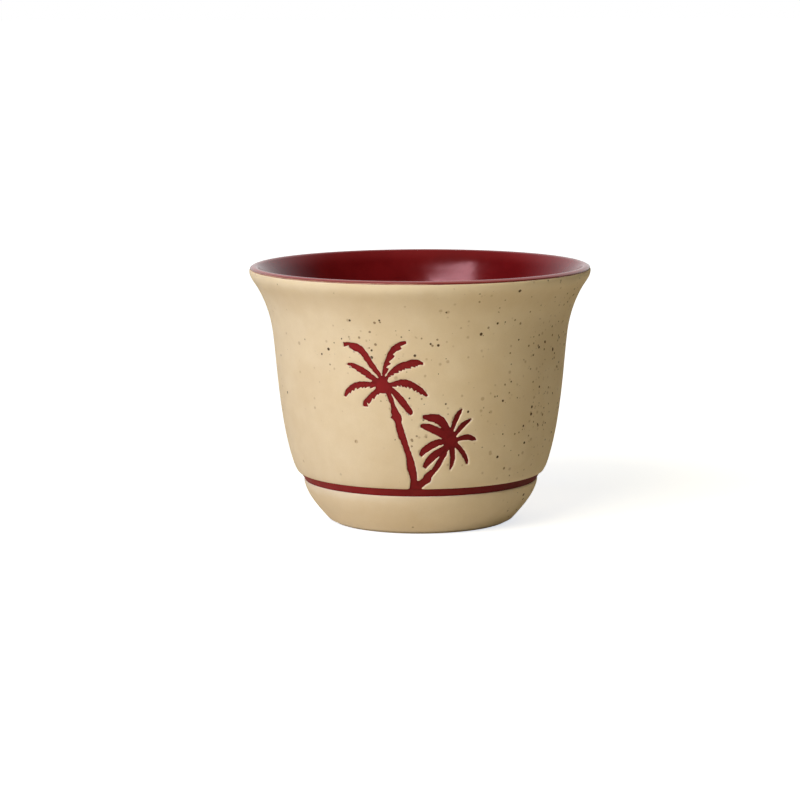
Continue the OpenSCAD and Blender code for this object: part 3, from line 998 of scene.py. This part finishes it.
def beige_material():
    n = Glaze("beige_matt")
    colour = n.cloud((226, 203, 167), (232, 211, 177), 0.07, 3, 0.55, 0.35, 0.65)
    # Warm and pale patches of a few millimetres, and a fine grain
    colour = n.cloud(colour, (214, 188, 145), 0.35, 3, 0.6, 0.3, 0.75, 0, 0.22)
    colour = n.cloud(colour, (202, 180, 141), 5.0, 3, 0.65, 0.25, 0.75, 0, 0.14)
    # Iron specks: dull ones under the surface and dark ones in it, in loose drifts
    right, _, up = n.axes()
    drift = n.noise(0.055, 2, 0.5, n.vector("ADD", {0: n.place, 1: (7.0, 3.0, -1.0)}))
    drift = n.math("ADD", drift, n.ramp(right, *SPECKS_RIGHT, -0.2, 0.1, False))
    drift = n.math("ADD", drift, n.ramp(up, *SPECKS_SET_IN, -0.36, 0.0))
    drift = n.math("ADD", drift, n.ramp(up, *SPECKS_THIN_OUT, 0.0, -0.08))
    for gap, shift, largest, few, many, edge, strength, tint in (
            (1.3, 5.3, 0.50, 0.94, 0.26, 0.26, 0.42, (156, 118, 80)),
            (0.95, 47.1, 0.33, 0.98, 0.56, 0.12, 0.72, (118, 82, 50)),
            (1.35, 31.7, 0.36, 0.985, 0.56, 0.09, 0.95, (72, 47, 27)),
            (0.75, 12.9, 0.14, 0.98, 0.78, 0.06, 0.5, (120, 86, 54))):
        distance, chance = n.cells(gap, shift)
        limit = n.ramp(drift, 0.36, 0.66, few, many, False)
        there = n.ramp(chance[0], limit, n.math("ADD", limit, 0.02))
        size = n.ramp(chance[1], 0, 1, 0.35 * largest, largest, False)
        ragged = n.math("ADD", distance, n.ramp(n.noise(4.5), 0, 1, -0.06, 0.06, False))
        dot = n.ramp(n.math("SUBTRACT", size, ragged), 0, edge, 0, strength)
        colour = n.mix(n.math("MULTIPLY", dot, there), colour, tint)
    # Painted highlight: the coat is paler along its end at a groove, as if the edge caught the
    # light
    gap = n.add("ShaderNodeAttribute", attribute_name="end_gap").outputs["Fac"]
    uneven = n.vary(0.20, 0.36, 1.3)
    colour = n.mix(n.ramp(gap, uneven, 0.05, 0, 0.42), colour, (242, 222, 204))
    # Painted light makes it paler round the rim, where the lip's roll faces the lamps, and painted
    # shade makes it darker under the rim's flare
    height = n.math("ADD", up, n.vary(-0.3, 0.3, 0.4))
    colour = n.mix(n.ramp(height, *LIT_RIM, 0, 0.34), colour, (240, 220, 186))
    rim_shade = n.math("MULTIPLY", n.ramp(height, *RIM_SHADE_LOW),
                    n.ramp(height, *RIM_SHADE_HIGH, 0, 0.22))
    colour = n.mix(rim_shade, colour, (200, 172, 132))
    # Painted light: on the left, the side the lamps are on, it is also paler under the band
    under = n.math("MULTIPLY", n.ramp(height, *UNDER_BAND_LOW), n.ramp(height, *UNDER_BAND_HIGH))
    under = n.math("MULTIPLY", under, n.ramp(right, *UNDER_BAND_LEFT, 0.0, 0.32))
    colour = n.mix(under, colour, (240, 228, 206))
    peel = n.bump(n.noise(0.9), 0.02)
    normal = n.bump(n.noise(9.0, 3, 0.7), 0.006, peel)
    rough = n.vary(0.66, 0.76, 1.6, 3, 0.6)
    return n.finish(colour, rough, normal, 0.18)


def liner_material():
    n = Glaze("maroon_gloss")
    colour = n.cloud((112, 14, 17), (124, 19, 22), 0.12, 3, 0.55, 0.35, 0.65)
    colour = n.cloud(colour, (98, 11, 14), 2.8, 4, 0.65, 0.3, 0.75, 0, 0.25)
    # Painted sheen makes the glaze lighter high on the flare. The crest of the lip is lighter
    # where the glaze thins over it, and carries a painted highlight. It has a brown line along its
    # outer end, where it thins out
    right, back, up = n.axes()
    flat = n.add("ShaderNodeCombineXYZ", {0: right, 1: back})
    radius = n.vector("LENGTH", {0: flat.outputs[0]}, "Value")
    uneven = n.ramp(n.noise(0.5, 3, 0.6), 0.2, 0.8, -0.1, 0.1, False)
    height = n.math("ADD", up, uneven)
    colour = n.mix(n.ramp(height, *FLARE_SHEEN, 0, 0.30), colour, (166, 56, 58))
    crest = n.math("MULTIPLY", n.ramp(height, *LIP_CREST), n.ramp(radius, *CREST_RADII, 0, 0.55))
    colour = n.mix(crest, colour, (190, 104, 102))
    edge = n.math("ADD", radius, n.math("MULTIPLY", uneven, 0.3))
    # Painted shade widens the brown line on the right, the side away from the lamps
    edge = n.math("ADD", edge, n.ramp(right, *BROWN_LINE_SHADED_RIGHT, -0.01, -0.08))
    colour = n.mix(n.ramp(edge, *BROWN_LINE, 0, 0.75), colour, (112, 42, 32))
    colour = n.mix(n.ramp(edge, *PALE_LINE, 0, 0.75), colour, (208, 160, 134))
    normal = n.bump(n.noise(0.35), 0.02, n.bump(n.noise(2.2), 0.0015))
    rough = n.vary(0.145, 0.185, 0.8, 3, 0.6)
    return n.finish(colour, rough, normal, 0.75, (1.0, 0.57, 0.70, 1.0))


def inlay_material():
    n = Glaze("maroon_satin")
    colour = n.cloud((134, 29, 31), (146, 34, 36), 0.25, 3, 0.6, 0.3, 0.7)
    colour = n.cloud(colour, (118, 24, 27), 3.5, 4, 0.65, 0.35, 0.8, 0, 0.4)
    # Painted shade: the glaze is darker on the right of the palms, the side away from the lamps
    right, _, _ = n.axes()
    side = n.math("ADD", right, n.vary(-2, 2, 0.3))
    colour = n.mix(n.ramp(side, *SHADED_RIGHT, 0.0, 0.95, False), colour, (92, 15, 17))
    normal = n.bump(n.noise(1.6, 3, 0.6), 0.02, n.bump(n.noise(8.0, 2, 0.6), 0.004))
    rough = n.vary(0.5, 0.6, 1.2, 3, 0.6)
    # Painted shade: the glaze is darker along its edges, where the groove's walls shade it
    gap = n.add("ShaderNodeAttribute", attribute_name="end_gap").outputs["Fac"]
    gap = n.math("ADD", gap, n.vary(-0.05, 0.05, 1.5))
    colour = n.mix(n.ramp(gap, 0.32, 0.06, 0, 0.45), colour, (84, 12, 16))
    return n.finish(colour, rough, normal, 0.12)


def clay_material():
    n = Glaze("bare_stoneware")
    colour = n.cloud((204, 180, 142), (218, 197, 161), 0.6, 4, 0.6, 0.3, 0.7)
    colour = n.cloud(colour, (176, 150, 112), 6.0, 3, 0.7, 0.35, 0.75, 0, 0.35)
    colour = n.round_specks(colour, (96, 74, 50), 1.0, 3.1, (0.62, 0.66), (0.06, 0.17), 0.05)
    rough = n.ramp(n.noise(2.0), 0, 1, 0.78, 0.92, False)
    return n.finish(colour, rough, n.bump(n.noise(3.0, 4, 0.7), 0.03), 0.2)


def base_material():
    n = Glaze("beige_satin")
    colour = n.cloud((216, 194, 157), (226, 206, 171), 0.12, 3, 0.6, 0.35, 0.65)
    colour = n.cloud(colour, (196, 173, 134), 4.0, 3, 0.65, 0.3, 0.75, 0, 0.16)
    colour = n.round_specks(colour, (86, 72, 50), 1.7, 9.2, (0.7, 0.73), (0.08, 0.22), 0.08)
    rough = n.vary(0.36, 0.46, 1.5, 3)
    return n.finish(colour, rough, n.bump(n.noise(1.0), 0.02), 0.45)


beige = beige_material()
inlay = inlay_material()
for piece, look in ((clay, clay_material()), (liner, liner_material()), (coat_upper, beige),
                    (coat_foot, beige), (band, inlay), (palm_tall, inlay),
                    (palm_short, inlay), (base_skin, base_material())):
    piece.data.materials.clear()
    piece.data.materials.append(look)


# The table, the light and the camera, in metres

CUP_MIDDLE = (0.0, 0.0, 0.0245)
LAMP_ROLL = -12
SHADOW_REACH = (0.06, 0.4)
CAMERA_DISTANCE = 0.568
CAMERA_ROLL = -0.208
WHITE = (1, 1, 1, 1)


def stand(thing, azimuth, elevation, distance):
    """Puts a thing at angles in degrees round the cup's middle, turned to face it."""
    a, e = math.radians(azimuth), math.radians(elevation)
    middle = Vector(CUP_MIDDLE)
    thing.location = middle + distance * Vector(
        (math.sin(a) * math.cos(e), -math.cos(a) * math.cos(e), math.sin(e)))
    thing.rotation_euler = (middle - thing.location).to_track_quat("-Z", "Y").to_euler()
    bpy.context.scene.collection.objects.link(thing)


def soft_box(name, azimuth, elevation, distance, width, height, power, colour, mirrored=False):
    """A lamp that the glazes mirror but aren't lit by, or the other way round."""
    data = bpy.data.lights.new(name, "AREA")
    data.shape = "RECTANGLE"
    data.size = width
    data.size_y = height
    data.energy = power
    data.color = colour
    lamp = bpy.data.objects.new(name, data)
    lamp.visible_glossy = mirrored
    lamp.visible_diffuse = not mirrored
    stand(lamp, azimuth, elevation, distance)
    return lamp


# The glazes mirror these two, and the small one lengthens the liner's highlight to the left
shine = soft_box("shine", -31, 44.0, 0.60, 0.38, 0.21, 1.3, (1.0, 0.95, 0.90), mirrored=True)
glint = soft_box("glint", -16.5, 52.4, 0.60, 0.11, 0.036, 0.045, (1.0, 0.95, 0.90), mirrored=True)
for lamp in (shine, glint):
    lamp.rotation_euler.rotate_axis("Z", math.radians(LAMP_ROLL))
# The others light the cup, cool from the left and warm from above
soft_box("key", -34, 42, 0.60, 0.38, 0.21, 1.42, (1.0, 0.96, 0.84))
soft_box("high", -35, 60, 0.65, 0.42, 0.36, 0.66, (1.0, 0.80, 0.25))
soft_box("front", -32, 12, 0.65, 0.42, 0.36, 1.20, (0.99, 0.98, 0.86))
soft_box("left", -60, 20, 0.65, 0.42, 0.36, 1.35, (0.34, 0.48, 1.0))

floor_mesh = bpy.data.meshes.new("floor")
floor_mesh.from_pydata([(-6, -6, 0), (6, -6, 0), (6, 6, 0), (-6, 6, 0)], [], [(0, 1, 2, 3)])
floor = bpy.data.objects.new("floor", floor_mesh)
bpy.context.scene.collection.objects.link(floor)
paper = bpy.data.materials.new("paper")
n = Tree(paper)
# Far from the cup the floor is white, and near it the cup's shadow shows
spot = n.add("ShaderNodeTexCoord").outputs["Object"]
level = n.ramp(n.vector("LENGTH", {0: spot}, "Value"), *SHADOW_REACH, 0.76, 1.0, False)
ray = n.add("ShaderNodeLightPath").outputs
matt = n.add("ShaderNodeBsdfDiffuse", {"Color": (0.86, 0.84, 0.78, 1)})
glow = n.add("ShaderNodeEmission", {"Color": (0.90, 0.94, 1.0, 1),
                                    "Strength": n.math("MULTIPLY", ray["Is Camera Ray"], level)})
both = n.add("ShaderNodeAddShader", {0: matt.outputs[0], 1: glow.outputs[0]})
n.add("ShaderNodeOutputMaterial", {0: both.outputs[0]})
floor_mesh.materials.append(paper)

# The camera sees white. The light and what the glazes mirror come from a white wall behind the
# cup, with a dark room in front
world = bpy.data.worlds.new("studio")
bpy.context.scene.world = world
n = Tree(world)
way = n.add("ShaderNodeTexCoord").outputs["Generated"]
back = n.add("ShaderNodeSeparateXYZ", {0: way}).outputs[1]
ray = n.add("ShaderNodeLightPath").outputs
seen, mirrored, felt = [
    n.add("ShaderNodeBackground", {"Color": colour, "Strength": strength}).outputs[0]
    for colour, strength in ((WHITE, 1.0), (WHITE, n.ramp(back, 0.02, 0.9, 0.03, 0.85)),
                             ((0.97, 0.87, 0.66, 1), n.ramp(back, -0.2, 1.0, 0.01, 0.74)))]
inner = n.add("ShaderNodeMixShader", {0: ray["Is Glossy Ray"], 1: felt, 2: mirrored})
outer = n.add("ShaderNodeMixShader", {0: ray["Is Camera Ray"], 1: inner.outputs[0], 2: seen})
n.add("ShaderNodeOutputWorld", {0: outer.outputs[0]})

camera_data = bpy.data.cameras.new("camera")
camera_data.sensor_width = 36.0
camera_data.lens = 133.3
camera_data.shift_x = -0.0255
camera_data.shift_y = -0.0105
camera = bpy.data.objects.new("camera", camera_data)
stand(camera, 0, CAMERA_ELEVATION, CAMERA_DISTANCE)
camera.rotation_euler.rotate_axis("Z", math.radians(CAMERA_ROLL))
bpy.context.scene.camera = camera

bpy.context.scene.view_settings.view_transform = "Standard"
